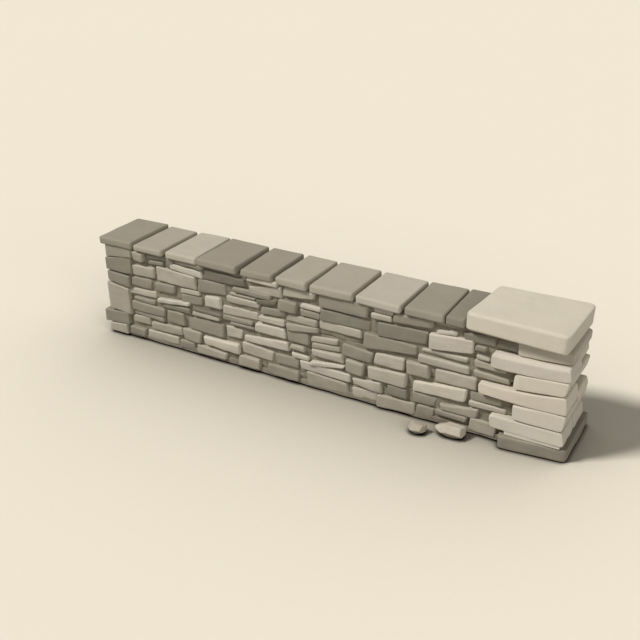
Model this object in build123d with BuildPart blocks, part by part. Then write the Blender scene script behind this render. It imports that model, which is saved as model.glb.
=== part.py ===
from build123d import *
import os

# A free-standing dry stone garden wall: two faces of rubble with packed hearting between them,
# quoins at the far end, a coursed pier at the near end, flat coping slabs and one thick pier cap.
# Millimetres. +X runs along the wall towards the pier, +Y towards the back, +Z up.
# The origin is on the ground, in the middle of the wall's length and thickness.

os.makedirs("parts", exist_ok=True)

# --- The wall's body ---------------------------------------------------------------------------
WALL_LENGTH = 4450  # from the far end's face to the pier's end face
WALL_THICKNESS = 520  # over both rubble faces
BODY_TOP = 935  # bed of the coping, above the ground
LIFT_HEIGHT = 530  # where the lower lift of face stones ends
FACE_DEPTH = 170  # how far face stones reach into the wall

# --- The pier ----------------------------------------------------------------------------------
CAP_BED = 942  # bed of the pier cap, above the ground
PIER_PROUD_FRONT = 40  # how far the pier stands out from the front face
PIER_PROUD_BACK = 30  # and from the back face
PLINTH_LENGTH = 540
PLINTH_HEIGHT = 115
PLINTH_OVERRUN = 50  # past the pier's end face
PLINTH_PROUD_FRONT = 85  # beyond the front face, where the plinth starts under the wall
PLINTH_PROUD_END = 22  # beyond the front face at its other end: the front is laid askew
PLINTH_PROUD_BACK = 100
CAP_LENGTH = 840
CAP_WIDTH = 672
CAP_THICKNESS = 148
CAP_SETBACK = 0  # from the pier's end face to the cap's end
CAP_CORNER_RADIUS = 57
CAP_EDGE_RADIUS = 34

# Courses from the plinth up: (length along the wall, relative height, laid as a pair of runners).
# The first is a thin levelling slab; above it short and long stones take turns, to bond the pier.
PIER_COURSES = (
    (430, 25, False),
    (570, 126, True),
    (395, 151, False),
    (690, 136, True),
    (405, 138, False),
    (600, 124, True),
    (410, 127, False),
)

# --- The far end's quoins ----------------------------------------------------------------------
# Courses from the ground up: (length, relative height, overrun past the end, laid as a pair)
END_QUOINS = (
    (190, 110, 30, False),
    (220, 140, 80, False),
    (250, 285, 0, True),
    (270, 130, 0, False),
    (300, 140, 0, True),
    (320, 130, 0, False),
)
QUOIN_PROUD = 12  # beyond both rubble faces

# --- The coping --------------------------------------------------------------------------------
COPING_OVERHANG = 23  # beyond each rubble face
COPING_END_OVERHANG = 25  # past the far end
COPING_THICKNESS = 65
CAP_JOINT = 6  # between the last slab and the pier cap
END_SLAB_BEARING = 30  # how far the slab over the far end reaches past the top quoin
END_SLAB = (31, 1, 0.4)  # joint after it, extra thickness, turn in degrees
# The other slabs, from there on: (relative width, joint after it, extra thickness, turn)
COPING_SLABS = (
    (317, 48, -8, -0.7),
    (320, 26, -1, 0.6),
    (414, 53, 2, -0.5),
    (310, 48, -2, 0.8),
    (293, 36, 1, -0.4),
    (396, 36, 3, 0.5),
    (390, 41, 1, -0.6),
    (324, 22, 4, 0.3),
    (148, 0, 12, 0.0),
)
SLAB_EDGE_RADIUS = 16

# --- Stonework details -------------------------------------------------------------------------
RUNNER_JOINT = 8  # open joint between the two stones of a pair
BLOCK_EDGE_RADIUS = 14
EDGE_LIMIT = 0.4  # most that an edge radius takes of a stone's height

# --- Two stones that have fallen from the wall -------------------------------------------------
LARGE_FALLEN_SIZE = (240, 118, 112)
LARGE_FALLEN_FROM_END = 868  # from the pier's end face to the stone's middle
LARGE_FALLEN_CLEARANCE = 45  # from the rubble face
SMALL_FALLEN_SIZE = (140, 116, 84)
SMALL_FALLEN_FROM_END = 1120
SMALL_FALLEN_CLEARANCE = 125
FALLEN_BEVEL = 18

# --- Worked out from the sizes above -----------------------------------------------------------
END_X = WALL_LENGTH / 2
FACE_Y = WALL_THICKNESS / 2
PIER_FRONT = -FACE_Y - PIER_PROUD_FRONT
PIER_BACK = FACE_Y + PIER_PROUD_BACK
CAP_START_X = END_X - CAP_SETBACK - CAP_LENGTH


def stacked(courses, bottom, top):
    """Bottom and top heights of each course when its relative heights fill bottom to top."""
    scale = (top - bottom) / sum(course[1] for course in courses)
    spans = []
    level = bottom
    for course in courses:
        spans.append((level, level + course[1] * scale))
        level += course[1] * scale
    return spans


PIER_LEVELS = stacked(PIER_COURSES, PLINTH_HEIGHT, CAP_BED)
QUOIN_LEVELS = stacked(END_QUOINS, 0, BODY_TOP)


def finish(part, name):
    """Label one finished piece and write its file."""
    part.label = name
    export_step(part, f"parts/{name}.step")


def stone_block(x_span, y_span, z_span, radius):
    """One dressed stone filling the three spans, with all its edges rounded."""
    width = x_span[1] - x_span[0]
    depth = y_span[1] - y_span[0]
    height = z_span[1] - z_span[0]
    rounding = min(radius, EDGE_LIMIT * height)
    with BuildPart() as block:
        with BuildSketch(Plane.XY.offset(z_span[0])):
            with Locations((x_span[0] + width / 2, y_span[0] + depth / 2)):
                Rectangle(width, depth)
        extrude(amount=height)
        fillet(block.edges(), radius=rounding)
    return block.part


def stone_course(name, x_span, y_span, z_span, as_pair):
    """One course at an end of the wall: a through stone, or two runners side by side."""
    with BuildPart() as course:
        if as_pair:
            half = RUNNER_JOINT / 2
            add(stone_block(x_span, (y_span[0], -half), z_span, BLOCK_EDGE_RADIUS))
            add(stone_block(x_span, (half, y_span[1]), z_span, BLOCK_EDGE_RADIUS))
        else:
            add(stone_block(x_span, y_span, z_span, BLOCK_EDGE_RADIUS))
    finish(course.part, name)


# --- The pier's plinth and courses -------------------------------------------------------------
plinth_end = END_X + PLINTH_OVERRUN
plinth_start = plinth_end - PLINTH_LENGTH
with BuildPart() as plinth:
    with BuildSketch():
        with BuildLine():
            Polyline(
                (plinth_start, -FACE_Y - PLINTH_PROUD_FRONT),
                (plinth_end, -FACE_Y - PLINTH_PROUD_END),
                (plinth_end, FACE_Y + PLINTH_PROUD_BACK),
                (plinth_start, FACE_Y + PLINTH_PROUD_BACK),
                close=True,
            )
        make_face()
    extrude(amount=PLINTH_HEIGHT)
    fillet(plinth.edges(), radius=min(BLOCK_EDGE_RADIUS, EDGE_LIMIT * PLINTH_HEIGHT))
finish(plinth.part, "pier_plinth")

for number, (course, levels) in enumerate(zip(PIER_COURSES, PIER_LEVELS), start=1):
    stone_course(
        f"pier_course_{number}",
        (END_X - course[0], END_X),
        (PIER_FRONT, PIER_BACK),
        levels,
        course[2],
    )

# --- The far end's quoins ----------------------------------------------------------------------
for number, (quoin, levels) in enumerate(zip(END_QUOINS, QUOIN_LEVELS), start=1):
    stone_course(
        f"end_quoin_{number}",
        (-END_X - quoin[2], -END_X + quoin[0]),
        (-FACE_Y - QUOIN_PROUD, FACE_Y + QUOIN_PROUD),
        levels,
        quoin[3],
    )


# --- Rubble faces and hearting -----------------------------------------------------------------
def cut_elevation(x_low, x_high, z_low, z_high):
    """Take a rectangle, given by its limits, out of the elevation being drawn."""
    with Locations(((x_low + x_high) / 2, (z_low + z_high) / 2)):
        Rectangle(x_high - x_low, z_high - z_low, mode=Mode.SUBTRACT)


def rubble_elevation(z_low, z_high):
    """Elevation of the rubble between two heights, toothed into the quoins and the pier."""
    with Locations((0, (z_low + z_high) / 2)):
        Rectangle(WALL_LENGTH, z_high - z_low)
    for course, levels in zip(PIER_COURSES, PIER_LEVELS):
        cut_elevation(END_X - course[0], END_X + PLINTH_OVERRUN, levels[0], levels[1])
    for quoin, levels in zip(END_QUOINS, QUOIN_LEVELS):
        cut_elevation(-END_X - quoin[2] - 1, -END_X + quoin[0], levels[0], levels[1])
    cut_elevation(plinth_start, plinth_end, 0, PLINTH_HEIGHT)
    if z_high > BODY_TOP:
        cut_elevation(-END_X - 1, CAP_START_X, BODY_TOP, z_high + 1)


def rubble_mass(name, y_low, y_high, z_low, z_high):
    """One mass of rubble between two depths and two heights."""
    with BuildPart() as mass:
        with BuildSketch(Plane.XZ.offset(-y_high)):
            rubble_elevation(z_low, z_high)
        extrude(amount=y_high - y_low)
    finish(mass.part, name)


INNER_Y = FACE_Y - FACE_DEPTH
rubble_mass("front_face_lower", -FACE_Y, -INNER_Y, 0, LIFT_HEIGHT)
rubble_mass("front_face_upper", -FACE_Y, -INNER_Y, LIFT_HEIGHT, CAP_BED)
rubble_mass("back_face_lower", INNER_Y, FACE_Y, 0, LIFT_HEIGHT)
rubble_mass("back_face_upper", INNER_Y, FACE_Y, LIFT_HEIGHT, CAP_BED)
rubble_mass("hearting", -INNER_Y, INNER_Y, 0, CAP_BED)

# --- The coping slabs --------------------------------------------------------------------------
coping_start = -END_X - COPING_END_OVERHANG
coping_run = CAP_START_X - CAP_JOINT - coping_start
end_slab_width = COPING_END_OVERHANG + END_QUOINS[-1][0] + END_SLAB_BEARING
joints = END_SLAB[0] + sum(slab[1] for slab in COPING_SLABS)
width_scale = (coping_run - end_slab_width - joints) / sum(slab[0] for slab in COPING_SLABS)
slabs = [(end_slab_width, *END_SLAB)]
slabs += [(slab[0] * width_scale, *slab[1:]) for slab in COPING_SLABS]
slab_depth = WALL_THICKNESS + 2 * COPING_OVERHANG
slab_x = coping_start
for number, (slab_width, joint, extra, turn) in enumerate(slabs, start=1):
    with BuildPart() as slab:
        with BuildSketch(Plane.XY.offset(BODY_TOP)):
            with Locations((slab_x + slab_width / 2, 0)):
                Rectangle(slab_width, slab_depth, rotation=turn)
        extrude(amount=COPING_THICKNESS + extra)
        fillet(slab.edges(), radius=SLAB_EDGE_RADIUS)
    finish(slab.part, f"coping_slab_{number:02d}")
    slab_x += slab_width + joint

# --- The pier cap ------------------------------------------------------------------------------
with BuildPart() as cap:
    with BuildSketch(Plane.XY.offset(CAP_BED)):
        with Locations((CAP_START_X + CAP_LENGTH / 2, 0)):
            RectangleRounded(CAP_LENGTH, CAP_WIDTH, CAP_CORNER_RADIUS)
    extrude(amount=CAP_THICKNESS)
    fillet(cap.faces().sort_by(Axis.Z)[-1].edges(), radius=CAP_EDGE_RADIUS)
    fillet(cap.faces().sort_by(Axis.Z)[0].edges(), radius=CAP_EDGE_RADIUS)
finish(cap.part, "pier_cap")


# --- The fallen stones -------------------------------------------------------------------------
def fallen_stone(name, size, from_end, clearance):
    """A rough block lying on the ground in front of the wall."""
    length, depth, height = size
    with BuildPart() as stone:
        with BuildSketch(Plane.XY):
            with Locations((END_X - from_end, -FACE_Y - clearance - depth / 2)):
                Rectangle(length, depth)
        extrude(amount=height)
        chamfer(stone.edges(), length=FALLEN_BEVEL)
    finish(stone.part, name)


fallen_stone("fallen_stone_large", LARGE_FALLEN_SIZE, LARGE_FALLEN_FROM_END, LARGE_FALLEN_CLEARANCE)
fallen_stone("fallen_stone_small", SMALL_FALLEN_SIZE, SMALL_FALLEN_FROM_END, SMALL_FALLEN_CLEARANCE)
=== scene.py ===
"""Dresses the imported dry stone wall: every stone is cut as its own shell and given a stone finish."""

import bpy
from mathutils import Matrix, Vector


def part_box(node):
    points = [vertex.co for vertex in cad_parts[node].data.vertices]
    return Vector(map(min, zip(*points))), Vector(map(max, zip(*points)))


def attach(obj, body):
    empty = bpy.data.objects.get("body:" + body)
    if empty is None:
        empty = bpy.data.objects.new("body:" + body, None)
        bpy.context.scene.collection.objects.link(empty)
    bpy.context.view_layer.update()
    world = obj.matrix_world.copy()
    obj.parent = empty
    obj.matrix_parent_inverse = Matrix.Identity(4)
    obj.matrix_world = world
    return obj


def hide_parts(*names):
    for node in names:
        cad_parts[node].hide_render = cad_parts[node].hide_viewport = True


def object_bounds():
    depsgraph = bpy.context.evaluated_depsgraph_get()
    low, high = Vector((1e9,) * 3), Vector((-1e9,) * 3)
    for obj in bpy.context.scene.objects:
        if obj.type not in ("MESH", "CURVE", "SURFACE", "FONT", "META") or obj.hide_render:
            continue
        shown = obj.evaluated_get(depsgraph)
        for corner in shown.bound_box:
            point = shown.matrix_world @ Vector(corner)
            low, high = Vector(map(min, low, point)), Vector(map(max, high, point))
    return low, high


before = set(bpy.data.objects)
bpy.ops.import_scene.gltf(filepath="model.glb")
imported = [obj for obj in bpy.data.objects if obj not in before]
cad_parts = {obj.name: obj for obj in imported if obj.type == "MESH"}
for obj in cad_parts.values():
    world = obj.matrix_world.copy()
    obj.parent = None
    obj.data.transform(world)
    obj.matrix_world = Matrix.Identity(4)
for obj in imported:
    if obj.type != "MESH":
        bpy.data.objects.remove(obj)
CAD_BOX = [list(corner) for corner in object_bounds()]

import logging
import math
from dataclasses import dataclass, replace
from enum import Enum

import bpy
import numpy as np
from mathutils import Vector

LOG = logging.getLogger("dry_stone_wall")
BODY = "root"
MM = 0.001
QUOIN_NODES = [f"end_quoin_{number}" for number in range(1, 7)]
PIER_NODES = ["pier_plinth"] + [f"pier_course_{number}" for number in range(1, 8)]

# Limits that keep the working of a small stone in proportion: the radius of its arrises and the depth of
# a chip as shares of its least half size, the radius of its face's corners as a share of half its height,
# and the play of a corner as a share of half its size.
ROUND_LIMIT = 0.8
CHIP_LIMIT = 0.3
FACE_ROUND_LIMIT = 0.48
PLAY_LIMIT = 0.12
# How a chip lies: how steeply its plane may slope on each axis, how much flatter one of the three is, and
# the share of the chip's depth that it takes off.
CHIP_SLOPE = (0.25, 1.0)
CHIP_FLATTER = (0.0, 0.35)
CHIP_SHARE = (0.35, 1.0)
# How far each colour channel strays from stone to stone, and how far apart stones lie in the grain.
HUE_PLAY = 0.008
GRAIN_SHIFT = 20.0
# The middle of a cloudy field, where nearly all of it lies.
CLOUD_MIDDLE = (0.3, 0.7)
# The mix node's own places for two colours and for the colour that they make.
MIX_UNDER, MIX_OVER, MIX_RESULT = 6, 7, 2
# What is divided by is at least this long.
TINY = 1e-9

# A colour as it is written, 0 to 255 a channel, a linear one, and an end of a link between two nodes.
Paint = tuple[int, int, int]
Tint = tuple[float, float, float]
Socket = bpy.types.NodeSocket


def linear(paint: Paint) -> Tint:
    """Turn a written colour, 0 to 255 a channel, into linear light, 0 to 1, by the sRGB formula."""
    shares = [channel / 255 for channel in paint]
    return tuple(share / 12.92 if share <= 0.04045 else ((share + 0.055) / 1.055) ** 2.4 for share in shares)


class Tone(Enum):
    """The beds of stone that the waller picked from, by the colour of a clean, dry face."""

    FLINT = (124, 117, 103)
    SLATE = (137, 130, 115)
    UMBER = (150, 142, 126)
    DUN = (168, 159, 142)
    BUFF = (183, 174, 157)
    ROSE = (198, 189, 173)
    CREAM = (206, 196, 177)
    PACKING = (132, 124, 108)

    def colour(self) -> np.ndarray:
        """Linear red, green and blue of the tone."""
        return np.array(linear(self.value))


class Side(Enum):
    """Which way a face of the wall looks, as the sign of its outward Y."""

    FRONT = -1
    BACK = 1


def box_of(node: str) -> tuple[Vector, Vector]:
    """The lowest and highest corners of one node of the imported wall."""
    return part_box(node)


def far_end() -> float:
    """Where the wall's far end is, along X."""
    return box_of("end_quoin_3")[0].x


def middle_and_half(low: Vector, high: Vector) -> tuple[np.ndarray, np.ndarray]:
    """The middle of a box, and half its size on each axis."""
    return (np.array(high) + np.array(low)) / 2, (np.array(high) - np.array(low)) / 2


def stand_for(piece: bpy.types.Object, *nodes: str) -> None:
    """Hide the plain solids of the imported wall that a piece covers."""
    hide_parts(*nodes)


def around(middle: float, play: float) -> tuple[float, float]:
    """The range that goes as far below a middle as above it."""
    return middle - play, middle + play


def linked(obj: bpy.types.Object) -> bpy.types.Object:
    """Put an object into the scene, and hand it back."""
    bpy.context.scene.collection.objects.link(obj)
    return obj


# --- Cutting stone -----------------------------------------------------------------------------
@dataclass(frozen=True)
class Dressing:
    """How a stone is worked: how far its arrises are worn round and how uneven it is, in metres.

    Attributes:
        edge_round: the radius of its arrises.
        cell: how fine its mesh is.
        round_steps: how many steps the mesh takes over half an arris.
        corner_play: the most that a corner is out of place.
        wave: how uneven its faces are.
        wave_length: how far apart their crests lie.
        chips: how many corners or arrises are split off.
        chip_depth: the most that a chip takes off.
        face_round: the radius of its corners, as seen from the front.
        shade_play: how much paler or darker it may be than its bed, as a share.
        brightness_kept: the share of its tone's brightness that it keeps.
    """

    edge_round: float = 0.018
    cell: float = 0.027
    round_steps: int = 3
    corner_play: float = 0.006
    wave: float = 0.0018
    wave_length: float = 0.12
    chips: int = 3
    chip_depth: float = 0.012
    face_round: float = 0.0
    shade_play: float = 0.03
    brightness_kept: float = 1.0


@dataclass(frozen=True)
class Pose:
    """How far a laid stone is out of square, in degrees: turned, nodding forward and leaning."""

    turn: float = 0.0
    nod: float = 0.0
    lean: float = 0.0

    def matrix(self) -> np.ndarray:
        """Put the three turns together.

        Returns:
            The matrix that turns points about the stone's middle.
        """
        turn, nod, lean = (math.radians(angle) for angle in (self.turn, self.nod, self.lean))
        about_z = ((math.cos(turn), -math.sin(turn), 0), (math.sin(turn), math.cos(turn), 0), (0, 0, 1))
        about_x = ((1, 0, 0), (0, math.cos(nod), -math.sin(nod)), (0, math.sin(nod), math.cos(nod)))
        about_y = ((math.cos(lean), 0, math.sin(lean)), (0, 1, 0), (-math.sin(lean), 0, math.cos(lean)))
        return np.array(about_z) @ np.array(about_x) @ np.array(about_y)


@dataclass(frozen=True)
class Plan:
    """How a stone's plan departs from a rectangle.

    Attributes:
        skew: how far its front is set back at the right end, in metres.
        narrowing: how much narrower it is at its left end, as a share.
        corner: how far its four upright corners are rounded, in metres.
        left_rake: how much further along its left end lies at the back than at the front, in metres.
        right_rake: the same for its right end.
        worn_end: how far in and how far down its right end is worn off along the top, in metres.
    """

    skew: float = 0.0
    narrowing: float = 0.0
    corner: float = 0.0
    left_rake: float = 0.0
    right_rake: float = 0.0
    worn_end: tuple[float, float] = (0.0, 0.0)


@dataclass(frozen=True)
class Outline:
    """A stone's elevation: its corners as (along, height) in metres, and how far its long sides sag."""

    bed_left: tuple[float, float]
    top_left: tuple[float, float]
    bed_right: tuple[float, float]
    top_right: tuple[float, float]
    bed_sag: float = 0.0
    top_sag: float = 0.0

    @property
    def corners(self) -> tuple[tuple[float, float], ...]:
        """Bed and top at the left end, then at the right end."""
        return self.bed_left, self.top_left, self.bed_right, self.top_right

    @property
    def lowest(self) -> tuple[float, float]:
        """The least along and the least height of its corners."""
        return min(corner[0] for corner in self.corners), min(corner[1] for corner in self.corners)

    @property
    def highest(self) -> tuple[float, float]:
        """The greatest along and the greatest height of its corners."""
        return max(corner[0] for corner in self.corners), max(corner[1] for corner in self.corners)

    def moved(self, along: float, height: float = 0.0) -> "Outline":
        """The same outline, moved along the wall and up."""
        places = [(corner[0] + along, corner[1] + height) for corner in self.corners]
        return Outline(*places, self.bed_sag, self.top_sag)

    def dropped(self, depth: float) -> "Outline":
        """The same outline with its top lowered at the right end, by a depth in metres."""
        return replace(self, top_right=(self.top_right[0], self.top_right[1] - depth))

    def fitted(self, along: np.ndarray, rise: np.ndarray) -> tuple[np.ndarray, np.ndarray]:
        """Lay points of a unit square over the outline.

        Args:
            along: their shares from the left end to the right, 0 to 1.
            rise: their shares from the bed to the top, 0 to 1.

        Returns:
            Where they lie along the wall, and how high.
        """
        laid = []
        for axis in (0, 1):
            bed = self.bed_left[axis] + (self.bed_right[axis] - self.bed_left[axis]) * along
            top = self.top_left[axis] + (self.top_right[axis] - self.top_left[axis]) * along
            laid.append(bed + (top - bed) * rise)
        bow = 4 * along * (1 - along)
        laid[1] = laid[1] + bow * (self.bed_sag * (1 - rise) + self.top_sag * rise)
        return laid[0], laid[1]


def sloping(left: float, right: float, heights: tuple[float, float, float, float]) -> Outline:
    """An outline with upright ends, from its bed and top at the left end and then at the right end."""
    left_bed, left_top, right_bed, right_top = heights
    return Outline((left, left_bed), (left, left_top), (right, right_bed), (right, right_top))


@dataclass
class StoneMesh:
    """The mesh of one cut stone, or of many put together.

    Attributes:
        points: where its corners are.
        quads: its faces, as four corners each.
        arris_shading: how far each corner lies on an upper arris, where the finish paints its arris highlight
            or shade, 0 to 1.
        colour: each corner's linear colour.
        shift: where in the grain each corner's stone lies.
    """

    points: np.ndarray
    quads: np.ndarray
    arris_shading: np.ndarray
    colour: np.ndarray
    shift: np.ndarray

    @staticmethod
    def joined(stones: list["StoneMesh"]) -> "StoneMesh":
        """Put several stones into one mesh.

        Args:
            stones: the stones to join; none of them is changed.

        Returns:
            One mesh that holds them all as separate shells.
        """
        starts = np.cumsum([0] + [len(stone.points) for stone in stones[:-1]])
        return StoneMesh(
            points=np.vstack([stone.points for stone in stones]),
            quads=np.vstack([stone.quads + start for stone, start in zip(stones, starts)]),
            arris_shading=np.concatenate([stone.arris_shading for stone in stones]),
            colour=np.vstack([stone.colour for stone in stones]),
            shift=np.vstack([stone.shift for stone in stones]),
        )

    def piece(self, name: str, slot: str, material: bpy.types.Material) -> bpy.types.Object:
        """Make one object of the mesh, with its finish, riding on the wall's body.

        Args:
            name: the piece's name.
            slot: the record's material slot; not used.
            material: the finish that it wears.

        Returns:
            The new object, linked to the scene.
        """
        mesh = bpy.data.meshes.new(name)
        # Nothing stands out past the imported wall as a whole.
        held = np.clip(self.points, CAD_BOX[0], CAD_BOX[1])
        mesh.from_pydata(held.tolist(), [], self.quads.tolist())
        mesh.polygons.foreach_set("use_smooth", np.ones(len(self.quads), bool))
        opaque = np.hstack([self.colour, np.ones((len(self.points), 1))])
        facts = (
            ("painted_arris_mask", "FLOAT", "value", self.arris_shading),
            ("stone_colour", "FLOAT_COLOR", "color", opaque),
            ("grain_shift", "FLOAT_VECTOR", "vector", self.shift),
        )
        for fact, kind, entry, values in facts:
            attribute = mesh.attributes.new(fact, kind, "POINT")
            attribute.data.foreach_set(entry, values.astype(np.float32).ravel())
        mesh.update()
        mesh.materials.append(material)
        obj = linked(bpy.data.objects.new(name, mesh))
        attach(obj, BODY)
        LOG.info("%s: %d faces", name, len(self.quads))
        return obj


def axis_lines(half: float, radius: float, dressing: Dressing) -> np.ndarray:
    """Where the grid lines of a rounded block cross one of its axes.

    Args:
        half: half the block's length along the axis.
        radius: how far its edges are rounded.
        dressing: the working that sets how fine the grid is.

    Returns:
        Places from -half to half, closer together over the rounded edges.
    """
    band = radius * np.tan(np.linspace(0, math.pi / 4, dressing.round_steps + 1))
    flat = half - radius
    cells = max(2, round(2 * flat / dressing.cell))
    middle = np.linspace(-flat, flat, cells + 1)
    return np.concatenate([-flat - band[:0:-1], middle, flat + band[1:]])


def block_surface(lines: list[np.ndarray]) -> tuple[np.ndarray, np.ndarray]:
    """The surface grid of a block.

    Args:
        lines: the grid lines along X, Y and Z.

    Returns:
        The surface points, each once, and the quads that join them, wound outwards.
    """
    points: list[np.ndarray] = []
    quads: list[np.ndarray] = []
    start = 0
    for axis in range(3):
        u_axis, v_axis = (axis + 1) % 3, (axis + 2) % 3
        for end in (0, -1):
            u_grid, v_grid = np.meshgrid(lines[u_axis], lines[v_axis], indexing="ij")
            patch = np.empty((u_grid.size, 3))
            patch[:, axis] = lines[axis][end]
            patch[:, u_axis] = u_grid.ravel()
            patch[:, v_axis] = v_grid.ravel()
            index = np.arange(u_grid.size).reshape(u_grid.shape) + start
            ring = [index[:-1, :-1], index[1:, :-1], index[1:, 1:], index[:-1, 1:]]
            if end == 0:
                ring.reverse()
            quads.append(np.stack([corner.ravel() for corner in ring], axis=1))
            points.append(patch)
            start += u_grid.size
    every = np.vstack(points)
    rounded = np.round(every, decimals=7)
    _, first, again = np.unique(rounded, axis=0, return_index=True, return_inverse=True)
    return every[first], again.reshape(-1)[np.vstack(quads)]


class StoneCutter:
    """Cuts stones one after another, each a little different, always the same from run to run."""

    def __init__(self, seed: int) -> None:
        """Start from the seed that fixes every stone that this cutter makes."""
        self.dice = np.random.default_rng(seed)

    def spread(self, size: float) -> float:
        """A random value between minus size and size."""
        return float(self.dice.uniform(-size, size))

    def askew(self, turn: float, nod: float, lean: float) -> Pose:
        """A random pose, out of square by no more than the three angles, either way."""
        return Pose(self.spread(turn), self.spread(nod), self.spread(lean))

    def waves(self, points: np.ndarray, length: float) -> np.ndarray:
        """A smooth uneven field over some points.

        Args:
            points: places in metres.
            length: the usual distance from crest to crest.

        Returns:
            One value, near -1 to 1, for each point.
        """
        total = np.zeros(len(points))
        trains = 7
        shortest, longest = 0.6 * length, 1.8 * length
        for _ in range(trains):
            direction = self.dice.normal(size=3)
            direction /= np.linalg.norm(direction)
            pitch = self.dice.uniform(shortest, longest)
            phase = self.dice.uniform(0, 2 * math.pi)
            total += np.sin(points @ direction * 2 * math.pi / pitch + phase)
        return total / math.sqrt(trains)

    def chip(self, points: np.ndarray, half: np.ndarray, depth: float) -> np.ndarray:
        """Split one corner or arris off a block with a slanting plane.

        Args:
            points: the block's points about its middle.
            half: half its size on each axis.
            depth: the most that the plane takes off.

        Returns:
            The points, with those outside the plane laid onto it.
        """
        # The plane faces one of the eight corners, and turns from it towards one of the arrises there.
        sign = self.dice.choice([-1.0, 1.0], size=3)
        normal = sign * self.dice.uniform(*CHIP_SLOPE, size=3)
        normal[self.dice.integers(3)] *= self.dice.uniform(*CHIP_FLATTER)
        normal /= np.linalg.norm(normal)
        reach = float(np.abs(normal) @ half) - self.dice.uniform(*CHIP_SHARE) * depth
        return self.planed(points, normal, reach)

    def planed(self, points: np.ndarray, normal: np.ndarray, reach: float) -> np.ndarray:
        """Lay whatever stands past a plane back onto it, with a slightly soft arris.

        Args:
            points: the block's points about its middle.
            normal: which way the plane faces, of length 1.
            reach: how far the plane lies from the middle.

        Returns:
            The points.
        """
        softness = 0.002
        pushed = softness * np.logaddexp(0, (points @ normal - reach) / softness)
        return points - pushed[:, None] * normal

    def cut(
        self,
        low: Vector,
        high: Vector,
        tone: Tone,
        dressing: Dressing,
        outline: Outline | None = None,
        pose: Pose = Pose(),
        plan: Plan = Plan(),
    ) -> StoneMesh:
        """Cut one stone to fill a box.

        Args:
            low: the box's lowest corner.
            high: its highest corner.
            tone: the bed of stone that it comes from.
            dressing: how it is worked.
            outline: its elevation, where its sides aren't square.
            pose: how far it lies out of square.
            plan: how its plan departs from a rectangle.

        Returns:
            The stone as a mesh.
        """
        centre, half = middle_and_half(low, high)
        # A block is sawn and its arrises are worn round: rounding is how far onto one a point lies.
        radius = min(dressing.edge_round, ROUND_LIMIT * float(half.min()))
        points, quads = block_surface([axis_lines(size, radius, dressing) for size in half])
        outward = points - np.clip(points, radius - half, half - radius)
        reach = np.linalg.norm(outward, axis=1)
        rounding = np.sort(np.abs(outward), axis=1)[:, 1] / radius
        normal = outward / reach[:, None]
        points = points - outward + normal * radius
        # Its corners are rounded further, knocked out of place and chipped.
        face_round = min(dressing.face_round, FACE_ROUND_LIMIT * float(half[2]))
        points = self.round_corners(points, half, plan.corner, radius, (0, 1))
        points = self.round_corners(points, half, face_round, radius, (0, 2))
        play = np.minimum(dressing.corner_play, PLAY_LIMIT * half)
        points = points + self.corner_drift(points / half, play)
        for _ in range(dressing.chips):
            points = self.chip(points, half, min(dressing.chip_depth, CHIP_LIMIT * float(half.min())))
        inward, down = plan.worn_end
        if inward > 0:
            facing = np.array((down, 0.0, inward)) / math.hypot(down, inward)
            points = self.planed(points, facing, float(facing @ (half[0] - inward, 0.0, half[2])))
        swell = self.waves(points, dressing.wave_length) * dressing.wave
        points = points + normal * (swell - dressing.wave)[:, None]
        # It is drawn to its plan and its elevation, turned, and set down.
        share = (points / half + 1) / 2
        points[:, 1] *= 1 - plan.narrowing * (1 - share[:, 0])
        points[:, 1] += plan.skew * share[:, 0] * (1 - share[:, 1])
        if outline is not None:
            along, height = outline.fitted(share[:, 0], share[:, 2])
            points[:, 0] = along - centre[0]
            points[:, 2] = height - centre[2]
        rake = plan.left_rake + (plan.right_rake - plan.left_rake) * share[:, 0]
        points[:, 0] += rake * share[:, 1]
        points = points @ pose.matrix().T + centre
        # Its colour strays a little from its bed's.
        shade = dressing.brightness_kept * (1 + self.spread(dressing.shade_play))
        colour = tone.colour() * shade * (1 + self.dice.uniform(-HUE_PLAY, HUE_PLAY, 3))
        return StoneMesh(
            points=points,
            quads=quads,
            # The mask of painted arris light: the rounded arrises that face up, towards the lamps.
            arris_shading=np.clip(rounding, 0, 1) * np.clip(2 * normal[:, 2], 0, 1),
            colour=np.tile(colour, (len(points), 1)),
            shift=np.tile(self.dice.uniform(-GRAIN_SHIFT, GRAIN_SHIFT, 3), (len(points), 1)),
        )

    def foot(self, low: Vector, high: Vector, inset: float, height: float, dressing: Dressing) -> StoneMesh:
        """Cut the packing under a stone, set in all round.

        Args:
            low: the stone's lowest corner.
            high: its highest corner.
            inset: how far the packing is set in.
            height: how high it stands.
            dressing: how it is worked.

        Returns:
            The packing as a mesh.
        """
        margin = Vector((inset, inset, 0))
        crown = Vector((high.x, high.y, low.z + height))
        return self.cut(low + margin, crown - margin, Tone.PACKING, dressing)

    def corner_drift(self, share: np.ndarray, play: np.ndarray) -> np.ndarray:
        """Move a block's eight corners a little, and everything between them with them.

        Args:
            share: the block's points as shares of its half size, -1 to 1.
            play: the most that a corner moves on each axis.

        Returns:
            How far each point moves.
        """
        corners = self.dice.uniform(-1, 1, size=(2, 2, 2, 3)) * play
        moved = np.zeros_like(share)
        for corner in np.ndindex(2, 2, 2):
            sign = 2 * np.array(corner) - 1
            moved += np.prod((1 + share * sign) / 2, axis=1)[:, None] * corners[corner]
        return moved

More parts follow.
